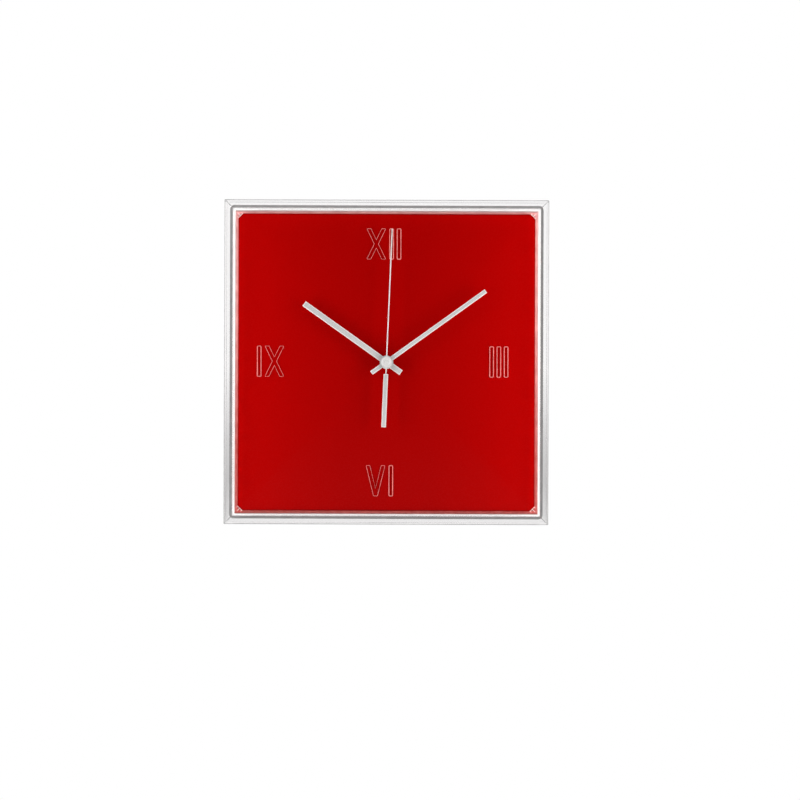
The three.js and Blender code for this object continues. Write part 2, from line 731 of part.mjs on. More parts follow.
const secondHandTube = turned([
  [SHAFT_BORE, 37.5], [1.1, 37.5], [1.1, 39.4], [0.8, 39.7], [0, 39.7], [0, 39.45], [SHAFT_BORE, 39.45],
  [SHAFT_BORE, 37.5],
], 20);

const hourHand = { width: 5.3, length: 93.6, tail: 16.6, back: 34.4, front: 35.2, bore: HOUR_PIPE + RUN };
const minuteHand = { width: 3.9, length: 113.1, tail: 17, back: 36.1, front: 36.9, bore: MINUTE_PIPE + RUN };
add("hour_hand", hand(hourHand), greyAluminium(), CENTRE, HOUR_ANGLE);
add("minute_hand", hand(minuteHand), greyAluminium(), CENTRE, MINUTE_ANGLE);
add("second_hand", secondHand(), greyAluminium(), CENTRE, SECOND_ANGLE);
add("second_hand_tube", secondHandTube, steel(), CENTRE, SECOND_ANGLE);

const wallClock = new THREE.Group();
wallClock.add(clock);
export default wallClock;
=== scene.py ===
"""The look of a square wall clock: clear acrylic frame, red dial with raised outlined numerals, grey hands
and a one-cell quartz movement on the back. Metres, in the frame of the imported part: +Z up, +X right, the
wall is the plane y = 0 and the clock stands out of it towards -Y. A depth is the distance from the wall."""

import math

import bmesh
import bpy
from mathutils import Matrix, Vector


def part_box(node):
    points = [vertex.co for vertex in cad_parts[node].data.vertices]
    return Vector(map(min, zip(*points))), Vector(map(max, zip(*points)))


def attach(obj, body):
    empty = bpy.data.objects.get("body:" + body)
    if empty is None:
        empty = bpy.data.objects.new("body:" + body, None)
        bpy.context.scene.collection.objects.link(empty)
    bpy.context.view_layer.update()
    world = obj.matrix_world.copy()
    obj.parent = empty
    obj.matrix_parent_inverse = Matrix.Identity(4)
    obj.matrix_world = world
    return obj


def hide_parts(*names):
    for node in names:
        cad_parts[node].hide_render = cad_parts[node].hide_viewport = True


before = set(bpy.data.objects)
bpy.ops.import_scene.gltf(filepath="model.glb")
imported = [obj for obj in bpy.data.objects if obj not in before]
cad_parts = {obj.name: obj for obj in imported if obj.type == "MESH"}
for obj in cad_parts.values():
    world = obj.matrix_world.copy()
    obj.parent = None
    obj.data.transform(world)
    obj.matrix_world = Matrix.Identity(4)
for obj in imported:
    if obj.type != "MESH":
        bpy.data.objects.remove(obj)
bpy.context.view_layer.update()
MM = 0.001

# Driving places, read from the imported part

case_low, case_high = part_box("clear_case")
dial_low, dial_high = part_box("dial")
carrier_low, carrier_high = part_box("dial_carrier")
AXIS_X = (case_low.x + case_high.x) / 2
AXIS_Z = (case_low.z + case_high.z) / 2
CASE_HALF = (case_high.x - case_low.x) / 2
CASE_DEPTH = -case_low.y
DIAL_HALF = (dial_high.x - dial_low.x) / 2
CARRIER_HALF = (carrier_high.x - carrier_low.x) / 2
CARRIER_BACK = -carrier_high.y
CARRIER_FRONT = -carrier_low.y
DIAL_BACK = -dial_high.y
RIB_HEIGHT = 0.6 * MM
DIAL_FRONT = -dial_low.y - RIB_HEIGHT

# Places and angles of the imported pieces, from the hands' axis. The hands' angles are clockwise from twelve

HOUR_ANGLE, MINUTE_ANGLE, SECOND_ANGLE = 305.3, 54.2, 2.3
CENTRE_HOLE = 4.4 * MM
CUT_CORNER = 4.4 * MM
CARRIER_BEVEL = 1.3 * MM
SCREW_PLACES = [(x * MM, z * MM) for x in (-132.5, 132.5) for z in (-100, 100)]
MOVEMENT_BACK = 3.2 * MM
KNOB_AT = (-6 * MM, 10.392 * MM)


# Camera: straight in front, a little right of the clock's axis and below it, with a slight roll

def make_camera():
    DISTANCE = 2.5
    FRAME_WIDTH = 0.7387
    ROLL = math.radians(0.2)
    ASIDE, BELOW = 12.7 * MM, 34.9 * MM
    data = bpy.data.cameras.new("camera")
    data.sensor_width = 36
    data.lens = data.sensor_width * DISTANCE / FRAME_WIDTH
    camera = bpy.data.objects.new("camera", data)
    bpy.context.scene.collection.objects.link(camera)
    camera.location = (AXIS_X + ASIDE, -CASE_DEPTH - DISTANCE, AXIS_Z - BELOW)
    look = Matrix.Rotation(math.radians(90), 4, "X") @ Matrix.Rotation(ROLL, 4, "Z")
    camera.rotation_euler = look.to_euler()
    bpy.context.scene.camera = camera


make_camera()


# Materials: every one is a Principled shader fed by a few procedural textures

COLOR_A, COLOR_B, COLOR_OUT = 6, 7, 2  # the colour sockets of a Mix node


def ranged(tree, from_low, from_high, to_low, to_high):
    span = tree.nodes.new("ShaderNodeMapRange")
    for key, value in (
        ("From Min", from_low), ("From Max", from_high), ("To Min", to_low), ("To Max", to_high),
    ):
        span.inputs[key].default_value = value
    return span


def color_stops(ramp, stops):
    """Gives a colour ramp its stops as (place, colour). The first one lies at 0."""
    elements = ramp.color_ramp.elements
    elements.remove(elements[1])
    elements[0].color = (*stops[0][1], 1)
    for where, color in stops[1:]:
        elements.new(where).color = (*color, 1)


class Look:
    """A new material with its Principled node, and short ways to add texture nodes."""

    def __init__(self, name, color, roughness, metallic=0.0):
        self.material = bpy.data.materials.new(name)
        self.material.use_nodes = True
        self.tree = self.material.node_tree
        self.shader = self.tree.nodes["Principled BSDF"]
        self.shader.inputs["Base Color"].default_value = (*color, 1)
        self.shader.inputs["Roughness"].default_value = roughness
        self.shader.inputs["Metallic"].default_value = metallic
        self.place = self.node("ShaderNodeTexCoord").outputs["Object"]

    def node(self, kind, **settings):
        made = self.tree.nodes.new(kind)
        for key, value in settings.items():
            if hasattr(made, key):
                setattr(made, key, value)
            else:
                made.inputs[key].default_value = value
        return made

    def link(self, output, target):
        self.tree.links.new(output, target)

    def set(self, **values):
        for key, value in values.items():
            self.shader.inputs[key.replace("_", " ")].default_value = value
        return self

    def grain(self, scale, detail=3.0):
        texture = self.node("ShaderNodeTexNoise", Scale=scale, Detail=detail)
        self.link(self.place, texture.inputs["Vector"])
        return texture.outputs["Fac"]

    def along(self, axis):
        split = self.node("ShaderNodeSeparateXYZ")
        self.link(self.place, split.inputs["Vector"])
        return split.outputs[axis]

    def spread(self, factor, low, high, from_low=0.3, from_high=0.7):
        """Carries a factor's middle part onto another range."""
        span = ranged(self.tree, from_low, from_high, low, high)
        self.link(factor, span.inputs["Value"])
        return span.outputs["Result"]

    def tint(self, factor, first, second, from_low=0.3, from_high=0.7):
        """Runs between two fixed colours."""
        mix = self.node("ShaderNodeMix", data_type="RGBA")
        self.link(self.spread(factor, 0, 1, from_low, from_high), mix.inputs["Factor"])
        mix.inputs[COLOR_A].default_value = (*first, 1)
        mix.inputs[COLOR_B].default_value = (*second, 1)
        return mix.outputs[COLOR_OUT]

    def blend(self, factor, first, second):
        """Runs between two colour outputs."""
        mix = self.node("ShaderNodeMix", data_type="RGBA")
        self.link(factor, mix.inputs["Factor"])
        self.link(first, mix.inputs[COLOR_A])
        self.link(second, mix.inputs[COLOR_B])
        return mix.outputs[COLOR_OUT]

    def colored(self, output):
        self.link(output, self.shader.inputs["Base Color"])
        return self

    def rough(self, output):
        self.link(output, self.shader.inputs["Roughness"])
        return self

    def bump(self, height, distance, strength=0.5):
        node = self.node("ShaderNodeBump", Strength=strength, Distance=distance)
        self.link(height, node.inputs["Height"])
        self.link(node.outputs["Normal"], self.shader.inputs["Normal"])
        return self


def clear_acrylic():
    look = Look("clear_acrylic", (0.985, 0.972, 0.974), 0.01)
    look.set(Transmission_Weight=1.0, IOR=1.49)
    return look.rough(look.spread(look.grain(60, 4), 0.004, 0.02)).material


def clear_bevel_painted_shade():
    """The polished bevel inside the band. Its grey is painted shade: the line that the bevel shows by
    turning the light aside.
    """
    look = Look("clear_acrylic_bevel_painted_shade", (0.25, 0.25, 0.25), 0.15)
    look.colored(look.tint(look.grain(120, 3), (0.2, 0.2, 0.2), (0.25, 0.25, 0.245)))
    return look.rough(look.spread(look.grain(90, 3), 0.1, 0.2)).material


def clear_edge_painted_shade():
    """The broken outer edge of the frame, a pale grey line of painted shade standing in for the light that
    the clear edge turns aside.
    """
    look = Look("clear_acrylic_edge_painted_shade", (0.5, 0.5, 0.5), 0.15)
    look.set(Transmission_Weight=0.6, IOR=1.49)
    look.colored(look.tint(look.grain(120, 3), (0.34, 0.34, 0.34), (0.46, 0.46, 0.45)))
    return look.rough(look.spread(look.grain(90, 3), 0.1, 0.2)).material


def frosted_seat():
    """The matt seat of the ledge, white where the light gets in round the carrier."""
    look = Look("clear_acrylic_seat", (0.96, 0.96, 0.96), 0.5)
    look.set(Transmission_Weight=0.35, IOR=1.49)
    look.colored(look.tint(look.grain(200, 3), (0.93, 0.93, 0.93), (0.97, 0.97, 0.97)))
    return look.rough(look.spread(look.grain(400, 3), 0.4, 0.6)).material


def carrier_rim(name, upper, lower):
    """The carrier's margin, with a painted glow of the dial's red edge shining into the clear acrylic, and
    painted shade that makes it deeper lower down.
    """
    LOW, HIGH = AXIS_Z - 0.09, AXIS_Z + 0.06
    look = Look(name, upper[0], 0.2)
    look.set(Coat_Weight=0.5, Coat_Roughness=0.1, Specular_IOR_Level=0.2)
    cloud = look.grain(120, 3)
    height = look.spread(look.along("Z"), 0, 1, LOW, HIGH)
    look.colored(look.blend(height, look.tint(cloud, *lower), look.tint(cloud, *upper)))
    return look.rough(look.spread(look.grain(150, 3), 0.15, 0.3)).material


def red_acrylic(name, dark, light):
    """Opaque red plate with painted side light: a little deeper in the middle than towards its left and
    right sides.
    """
    NEAR, FAR = 0.04, 0.13
    look = Look(name, dark, 0.3)
    look.set(IOR=1.49, Specular_IOR_Level=0.04)
    aside = look.node("ShaderNodeMath", operation="ABSOLUTE")
    look.link(look.along("X"), aside.inputs[0])
    look.colored(look.tint(aside.outputs["Value"], dark, light, NEAR, FAR))
    look.rough(look.spread(look.grain(700, 5), 0.22, 0.32))
    return look.bump(look.grain(2600, 3), 0.000006, 0.15).material


def numeral_rib_painted_highlight():
    """The raised outlines' tops, paler than the dial as a painted highlight where they catch the light."""
    look = Look("numeral_outline_painted_highlight", (0.74, 0.2, 0.18), 0.3)
    look.set(IOR=1.49)
    look.colored(look.tint(look.grain(180, 3), (0.86, 0.26, 0.24), (0.7, 0.16, 0.15)))
    return look.rough(look.spread(look.grain(500, 3), 0.2, 0.4)).material


def brushed_grey(name, color, light):
    """Lacquered metal with a fine brushed grain."""
    look = Look(name, color, 0.38, 0.15)
    brushed = look.grain(900, 4)
    look.colored(look.tint(brushed, color, light))
    look.rough(look.spread(brushed, 0.3, 0.46))
    return look.bump(brushed, 0.00001, 0.2).material


def moulded(name, color, light, roughness, pores=1500):
    look = Look(name, color, roughness)
    speck = look.grain(pores, 4)
    look.colored(look.tint(look.grain(40, 3), color, light))
    look.rough(look.spread(speck, roughness - 0.08, roughness + 0.1))
    return look.bump(speck, 0.00004, 0.4).material


def metal(name, color, light, roughness):
    look = Look(name, color, roughness, 1.0)
    grain = look.grain(800, 4)
    look.colored(look.tint(look.grain(60, 3), color, light))
    look.rough(look.spread(grain, roughness - 0.08, roughness + 0.12))
    return look.bump(grain, 0.00002, 0.3).material


def wound_copper():
    look = Look("copper_wire", (0.5, 0.16, 0.05), 0.35, 0.9)
    turns = look.node(
        "ShaderNodeTexWave", wave_type="BANDS", bands_direction="X", Scale=2500, Distortion=1.5)
    look.link(look.place, turns.inputs["Vector"])
    look.colored(look.tint(turns.outputs["Fac"], (0.3, 0.08, 0.02), (0.62, 0.22, 0.08), 0.0, 1.0))
    return look.bump(turns.outputs["Fac"], 0.00006, 0.6).material


CLEAR = clear_acrylic()
BEVEL = clear_bevel_painted_shade()
EDGE_SHADE = clear_edge_painted_shade()
SEAT = frosted_seat()
# Painted glow of the dial's red in the clear carrier, paler above, with painted shade deeper below.
RIM_GLOW = carrier_rim(
    "carrier_rim_painted_glow",
    ((0.45, 0.29, 0.275), (0.39, 0.22, 0.21)),
    ((0.34, 0.1, 0.09), (0.26, 0.06, 0.05)))
MARGIN_GLOW = carrier_rim(
    "carrier_margin_painted_glow",
    ((0.78, 0.35, 0.33), (0.66, 0.26, 0.25)),
    ((0.56, 0.13, 0.12), (0.44, 0.07, 0.06)))
RIDGE_GLOW = carrier_rim(
    "carrier_ridge_painted_glow",
    ((0.95, 0.74, 0.72), (0.85, 0.62, 0.6)),
    ((0.9, 0.66, 0.64), (0.8, 0.56, 0.54)))
# Painted side light: every red plate is lighter towards its left and right sides.
RED = red_acrylic("red_acrylic", (0.335, 0.0003, 0.0003), (0.39, 0.0004, 0.0004))
# Painted shade: the darker red inside the upright numerals.
FIELD_SHADE = red_acrylic("numeral_field_painted_shade", (0.28, 0.0002, 0.0002), (0.34, 0.0003, 0.0003))
# Painted shade: the darker red of the dial's sides and outer bevel.
DIAL_EDGE_SHADE = red_acrylic("dial_edge_painted_shade", (0.19, 0.0002, 0.0002), (0.24, 0.0003, 0.0003))
# Painted highlight: the numeral outlines are paler than the dial.
RIB_HIGHLIGHT = numeral_rib_painted_highlight()
HAND = brushed_grey("hand_aluminium", (0.53, 0.525, 0.52), (0.63, 0.62, 0.615))
# Painted highlight: the hands' coined edges, lighter than the blades and tinged pink by the red dial.
HAND_EDGE_HIGHLIGHT = brushed_grey("hand_edge_painted_highlight", (0.84, 0.77, 0.76), (0.92, 0.86, 0.85))
HUB = brushed_grey("hub_aluminium", (0.66, 0.645, 0.64), (0.775, 0.76, 0.755))
TUBE = brushed_grey("tube_nickel", (0.66, 0.65, 0.64), (0.76, 0.75, 0.74))
BLACK = moulded("movement_plastic", (0.018, 0.018, 0.019), (0.03, 0.03, 0.031), 0.42)
WHITE = moulded("gear_plastic", (0.72, 0.70, 0.64), (0.8, 0.78, 0.73), 0.45, 900)
BRASS = metal("brass", (0.58, 0.38, 0.13), (0.68, 0.48, 0.2), 0.28)
STEEL = metal("nickel_steel", (0.5, 0.5, 0.5), (0.62, 0.62, 0.61), 0.28)
MAGNET_STEEL = metal("magnet_steel", (0.22, 0.22, 0.23), (0.32, 0.32, 0.33), 0.45)
RUBBER = moulded("black_rubber", (0.012, 0.012, 0.012), (0.024, 0.024, 0.024), 0.8)
BOARD = moulded("circuit_laminate", (0.015, 0.11, 0.04), (0.025, 0.16, 0.06), 0.35, 400)
RESIN = moulded("chip_resin", (0.008, 0.008, 0.009), (0.014, 0.014, 0.015), 0.25, 300)
COPPER = wound_copper()


# Mesh building

def from_bmesh(name, bm, *materials):
    """A new object of the mesh that was built. A face's slot picks its material."""
    bmesh.ops.remove_doubles(bm, verts=bm.verts, dist=1e-7)
    bmesh.ops.recalc_face_normals(bm, faces=bm.faces)
    mesh = bpy.data.meshes.new(name)
    bm.to_mesh(mesh)
    bm.free()
    obj = bpy.data.objects.new(name, mesh)
    bpy.context.scene.collection.objects.link(obj)
    for material in materials:
        mesh.materials.append(material)
    return obj


def smooth(obj, degrees=30):
    for polygon in obj.data.polygons:
        polygon.use_smooth = True
    obj.data.set_sharp_from_angle(angle=math.radians(degrees))


def apply_modifiers(obj):
    graph = bpy.context.evaluated_depsgraph_get()
    made = bpy.data.meshes.new_from_object(obj.evaluated_get(graph))
    old = obj.data
    obj.modifiers.clear()
    obj.data = made
    bpy.data.meshes.remove(old)


def bevel(obj, width, segments=2, degrees=30):
    """Rounds the edges that are sharper than an angle."""
    modifier = obj.modifiers.new("edges", "BEVEL")
    modifier.width = width
    modifier.segments = segments
    modifier.limit_method = "ANGLE"
    modifier.angle_limit = math.radians(degrees)
    modifier.use_clamp_overlap = True
    apply_modifiers(obj)
    smooth(obj)


def refined(node, body, material, width, segments=2):
    """A CAD solid's flat faces made whole again, with its edges rounded. It takes the node's place."""
    bm = bmesh.new()
    bm.from_mesh(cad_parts[node].data)
    bmesh.ops.remove_doubles(bm, verts=bm.verts, dist=1e-6)
    bmesh.ops.dissolve_limit(bm, angle_limit=math.radians(1), verts=bm.verts, edges=bm.edges)
    obj = from_bmesh(f"{node}_detail", bm, material)
    bevel(obj, width, segments)
    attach(obj, body)
    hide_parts(node)
    return obj


def carve(obj, cutter):
    """Cuts one closed body out of another and removes the cutter."""
    modifier = obj.modifiers.new("cut", "BOOLEAN")
    modifier.operation = "DIFFERENCE"
    modifier.object = cutter
    modifier.solver = "EXACT"
    apply_modifiers(obj)
    bpy.data.objects.remove(cutter)


def place(x, z, depth):
    """A point given from the hands' axis and by its distance from the wall."""
    return Vector((AXIS_X + x, -depth, AXIS_Z + z))


def ring(bm, points, depth, point=place):
    return [bm.verts.new(point(x, z, depth)) for x, z in points]


def bridge(bm, one, two, slot=0):
    """Joins two rings of as many corners all round, and gives back the faces."""
    faces = []
    for j in range(len(one)):
        k = (j + 1) % len(one)
        face = bm.faces.new((one[j], one[k], two[k], two[j]))
        face.material_index = slot
        faces.append(face)
    return faces


def prism(bm, outline, back, front, taper=0.0, slot=0, point=place):
    """A closed plate between two depths. Its wall-side face is drawn in by the taper."""
    rear = ring(bm, shrunk(outline, taper) if taper else outline, back, point)
    fore = ring(bm, outline, front, point)
    bm.faces.new(rear).material_index = slot
    bm.faces.new(fore).material_index = slot
    bridge(bm, rear, fore, slot)


def bored(bm, rear_corners, rear, fore_corners, fore, shift=0.0):
    """Closes a plate's back and front round its centre hole and lines the hole. The hole's own corners are
    turned by a share of one step."""
    STEPS = 48
    angles = [math.tau * (i + shift) / STEPS for i in range(STEPS)]
    points = [(CENTRE_HOLE * math.cos(a), CENTRE_HOLE * math.sin(a)) for a in angles]
    mouths = ring(bm, points, rear), ring(bm, points, fore)
    bridge(bm, *mouths)
    for mouth, corners in zip(mouths, (rear_corners, fore_corners)):
        share = STEPS // len(corners)
        for j in range(len(corners)):
            start = j * share - share // 2
            arc = [mouth[(start + i) % STEPS] for i in range(share + 1)]
            bm.faces.new([corners[j], corners[(j + 1) % len(corners)], *reversed(arc)])


def screw_holes(back, front):
    """The cutting tool for the holes of the carrier's four screws."""
    CLEAR_RADIUS, STEPS = 1.7 * MM, 32
    bm = bmesh.new()
    for middle in SCREW_PLACES:
        prism(bm, circle(CLEAR_RADIUS, STEPS, middle), back, front)
    return from_bmesh("hole_cutter", bm)


def rounded_square(half, radius, steps):
    """A square's corner points, each corner as an arc, counterclockwise from the lower right."""
    points = []
    for turn in range(4):
        start = math.radians(90 * turn - 90)
        middle = Vector((half - radius, 0, -(half - radius)))
        middle.rotate(Matrix.Rotation(-math.radians(90 * turn), 3, "Y"))
        for i in range(steps + 1):
            angle = start + math.radians(90) * i / steps
            points.append((middle.x + radius * math.cos(angle), middle.z + radius * math.sin(angle)))
    return points


# Outlines: closed lists of points across the dial, as (x, z) from the hands' axis

def circle(radius, steps=64, centre=(0, 0)):
    angles = [math.tau * i / steps for i in range(steps)]
    return [(centre[0] + radius * math.cos(a), centre[1] + radius * math.sin(a)) for a in angles]


def square(half):
    return [(half, -half), (half, half), (-half, half), (-half, -half)]


def turned_left(direction):
    return Vector((-direction.y, direction.x))


def sides_at(points, i):
    """The directions of the two sides that meet at a corner, in the outline's order."""
    here = Vector(points[i])
    before = (here - Vector(points[i - 1])).normalized()
    after = (Vector(points[(i + 1) % len(points)]) - here).normalized()
    return here, before, after


def shrunk(points, by):
    """Moves every side of a counterclockwise outline inwards, keeping its corners sharp."""
    moved = []
    for i in range(len(points)):
        here, before, after = sides_at(points, i)
        inward, next_inward = turned_left(before), turned_left(after)
        moved.append(here + (inward + next_inward) * (by / (1 + inward.dot(next_inward))))
    return moved


def rounded(points, radius, steps=8):
    """Rounds the outward corners of a counterclockwise outline."""
    made = []
    for i in range(len(points)):
        here, before, after = sides_at(points, i)
        turn = math.atan2(before.x * after.y - before.y * after.x, before.dot(after))
        if turn <= 0:
            made.append(here)
            continue
        centre = here - before * (radius * math.tan(turn / 2)) + turned_left(before) * radius
        start = math.atan2(-before.x, before.y)
        for step in range(steps + 1):
            angle = start + turn * step / steps
            made.append(centre + Vector((math.cos(angle), math.sin(angle))) * radius)
    return made


# Clear case: one profile carried round the square, with its slots by face

def clear_case():
    """The profile is a closed list of (half width, depth, corner radius, slot of the face that follows)."""
    PLAIN, BEVELLED, BROKEN, MATT = range(4)
    BREAK = 0.8 * MM
    BAND = 5.3 * MM
    SLOPE = 2.4 * MM
    FALL = 0.2 * MM
    LEDGE = 128 * MM
    LEDGE_BACK, LEDGE_FRONT = 17.8 * MM, 20.3 * MM
    TIGHT, WIDE = 0.6 * MM, 4.0 * MM
    SOFT = 0.15 * MM
    CORNER_STEPS = 9
    BAND_FACE = 5  # the profile's face that is the front band; its mitre shows as a line across each corner
    outer = CASE_HALF
    band_in = outer - BAND
    inner = band_in - SLOPE
    front = CASE_DEPTH
    band_front = front - FALL
    slope_back = band_front - SLOPE
    profile = [
        (inner, SOFT, TIGHT, PLAIN), (inner + SOFT, 0, TIGHT, PLAIN),
        (outer - SOFT, 0, TIGHT, PLAIN), (outer, SOFT, TIGHT, PLAIN),
        (outer, front - BREAK, TIGHT, BROKEN), (outer - BREAK, front, TIGHT, PLAIN),
        (band_in + SOFT, band_front, WIDE, PLAIN), (band_in, band_front - SOFT, WIDE, BEVELLED),
        (inner + SOFT, slope_back + SOFT, TIGHT, PLAIN), (inner, slope_back - SOFT, TIGHT, PLAIN),
        (inner, LEDGE_FRONT + SOFT, TIGHT, PLAIN), (inner - SOFT, LEDGE_FRONT, TIGHT, MATT),
        (LEDGE + SOFT, LEDGE_FRONT, TIGHT, PLAIN), (LEDGE, LEDGE_FRONT - SOFT, TIGHT, PLAIN),
        (LEDGE, LEDGE_BACK + SOFT, TIGHT, PLAIN), (LEDGE + SOFT, LEDGE_BACK, TIGHT, PLAIN),
        (inner - SOFT, LEDGE_BACK, TIGHT, PLAIN), (inner, LEDGE_BACK - SOFT, TIGHT, PLAIN),
    ]
    bm = bmesh.new()
    rings = []
    for half, depth, radius, _ in profile:
        rings.append(ring(bm, rounded_square(half, radius, CORNER_STEPS), depth))
    for i, (_, _, _, slot) in enumerate(profile):
        faces = bridge(bm, rings[i], rings[(i + 1) % len(rings)], slot)
        # The band's mitre faces take the grey bevel material: a line of painted shade across each corner.
        if i == BAND_FACE:
            for mitre in faces[CORNER_STEPS // 2::CORNER_STEPS + 1]:
                mitre.material_index = BEVELLED
    # The bevel, mitre and edge faces are painted grey as shade, where the clear acrylic turns the light
    # aside.
    obj = from_bmesh("clear_case_detail", bm, CLEAR, BEVEL, EDGE_SHADE, SEAT)
    carve(obj, screw_holes(LEDGE_BACK - 1 * MM, LEDGE_FRONT + 1 * MM))
    smooth(obj, 12)
    obj.visible_shadow = False
    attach(obj, "frame")
    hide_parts("clear_case")


# Carrier: clear plate whose front margin and bevel carry a painted glow of the dial's red

def rim_depth(point):
    """The carrier's front surface there: flat, and falling away over its bevelled rim."""
    reach = max(abs(point.x), abs(point.y))
    return CARRIER_FRONT - max(0, reach - (CARRIER_HALF - CARRIER_BEVEL))


def corner_ridges(bm, slot, floor_slot):
    """Small moulded ridges in the triangles that the dial's cut corners leave open."""
    CUT_MIDDLE = DIAL_HALF - CUT_CORNER / 2
    WIDTH, TALL, SUNK = 0.7 * MM, 0.25 * MM, 0.03 * MM
    SPOKES = [(shift * MM, reach * MM) for shift, reach in ((-2.6, 1.8), (0, 4.2), (2.6, 1.8))]
    EDGE_OUT, EDGE_HALF = 0.5 * MM, 3.2 * MM
    FLOOR, FLOOR_TALL, FLOOR_SUNK = 3 * MM, 0.02 * MM, 0.1 * MM
    for across, out in ((1, 1), (-1, 1), (-1, -1), (1, -1)):
        outward = Vector((across, out)).normalized()
        along = turned_left(outward)
        start = Vector((across, out)) * CUT_MIDDLE
        floor = [start + along * FLOOR, start - along * FLOOR, start + outward * FLOOR]
        prism(bm, floor, CARRIER_FRONT - FLOOR_SUNK, CARRIER_FRONT + FLOOR_TALL, slot=floor_slot)
        bars = [(start + along * shift, start + along * shift + outward * reach) for shift, reach in SPOKES]
        edge = start + outward * EDGE_OUT
        bars.append((edge - along * EDGE_HALF, edge + along * EDGE_HALF))
        for one, two in bars:
            side = turned_left((two - one).normalized()) * WIDTH / 2
            base = [one - side, one + side, two + side, two - side]
            low = [bm.verts.new(place(p.x, p.y, rim_depth(p) - SUNK)) for p in base]
            high = [bm.verts.new(place(p.x, p.y, rim_depth(p) + TALL)) for p in (one, two)]
            faces = ((low[0], low[1], high[0]), (low[1], low[2], high[1], high[0]),
                     (low[2], low[3], high[1]), (low[3], low[0], high[0], high[1]), tuple(reversed(low)))
            for corners in faces:
                bm.faces.new(corners).material_index = slot


def dial_carrier():
    """The profile is a list of (half width, depth, slot of the face that follows), from back to front."""
    PLAIN, BEVELLED, MARGINAL, RIDGED = range(4)
    SOFT = 0.1 * MM
    UNDER_DIAL = 4.4 * MM
    half = CARRIER_HALF
    profile = [
        (half - SOFT, CARRIER_BACK, PLAIN), (half, CARRIER_BACK + SOFT, BEVELLED),
        (half, CARRIER_FRONT - CARRIER_BEVEL, BEVELLED), (half - CARRIER_BEVEL, CARRIER_FRONT, MARGINAL),
        (DIAL_HALF - UNDER_DIAL, CARRIER_FRONT, PLAIN),
    ]
    bm = bmesh.new()
    rings = [ring(bm, square(size), depth) for size, depth, _ in profile]
    for one, two, (_, _, slot) in zip(rings, rings[1:], profile):
        bridge(bm, one, two, slot)
    bored(bm, rings[0], CARRIER_BACK, rings[-1], CARRIER_FRONT)
    # The rim, margin and ridge colours are a painted glow of the dial's red, with painted shade lower down.
    obj = from_bmesh("dial_carrier_detail", bm, CLEAR, RIM_GLOW, MARGIN_GLOW, RIDGE_GLOW)
    carve(obj, screw_holes(CARRIER_BACK - 1 * MM, CARRIER_FRONT - 1 * MM))
    bm = bmesh.new()
    bm.from_mesh(obj.data)
    corner_ridges(bm, RIDGED, BEVELLED)
    bmesh.ops.recalc_face_normals(bm, faces=bm.faces)
    bm.to_mesh(obj.data)
    bm.free()
    smooth(obj, 12)
    obj.visible_shadow = False
    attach(obj, "frame")
    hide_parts("dial_carrier")


# Dial: red plate with cut corners, and the numerals' outlines as ribs

def swept_rib(bm, outline, section, slot):
    """Carries a closed section, as (across, depth) points, round a closed outline with mitred corners."""
    rings = []
    for i in range(len(outline)):
        here, before, after = sides_at(outline, i)
        outward = -turned_left(before)
        mitre = outward - turned_left(after)
        mitre = mitre / max(mitre.dot(outward), 0.5)
        points = [(here + mitre * across, depth) for across, depth in section]
        rings.append([bm.verts.new(place(point.x, point.y, depth)) for point, depth in points])
    for one, two in zip(rings, rings[1:] + rings[:1]):
        bridge(bm, one, two, slot)


def letter_outlines():
    """The outer outlines of the letters of XII, III, VI and IX, counterclockwise, in metres. The numbers
    here are millimetres: half the height and stroke, the spread of X and V, and each letter's middle."""
    HIGH = 29 / 2
    STROKE_HALF = 2.1
    SPREAD = 7.1
    REACH = 109.9
    LIFT = 0.7

    def moved(points, x, z):
        return [((x + dx) * MM, (z + dz) * MM) for dx, dz in points]

    def slanting(slope):
        half = STROKE_HALF * math.hypot(1, slope)
        return half, SPREAD + half, SPREAD - half

    def letter_i(x, z):
        half = STROKE_HALF
        return moved([(half, -HIGH), (half, HIGH), (-half, HIGH), (-half, -HIGH)], x, z)

    def letter_x(x, z):
        slope = SPREAD / HIGH
        half, far, near = slanting(slope)
        notch = half / slope
        return moved([
            (half, 0), (far, HIGH), (near, HIGH), (0, notch), (-near, HIGH), (-far, HIGH),
            (-half, 0), (-far, -HIGH), (-near, -HIGH), (0, -notch), (near, -HIGH), (far, -HIGH),
        ], x, z)

    def letter_v(x, z):
        slope = SPREAD / (2 * HIGH)
        half, far, near = slanting(slope)
        return moved([
            (half, -HIGH), (far, HIGH), (near, HIGH), (0, half / slope - HIGH),
            (-near, HIGH), (-far, HIGH), (-half, -HIGH),
        ], x, z)

    twelve = [letter_x(-9.8, REACH), letter_i(4.4, REACH), letter_i(11.3, REACH)]
    three = [letter_i(x, LIFT) for x in (97.6, 104.3, 111)]
    six = [letter_v(-9.8, -REACH), letter_i(4.4, -REACH)]
    nine = [letter_i(-118.1, LIFT), letter_x(-104, LIFT)]
    return twelve + three + six + nine


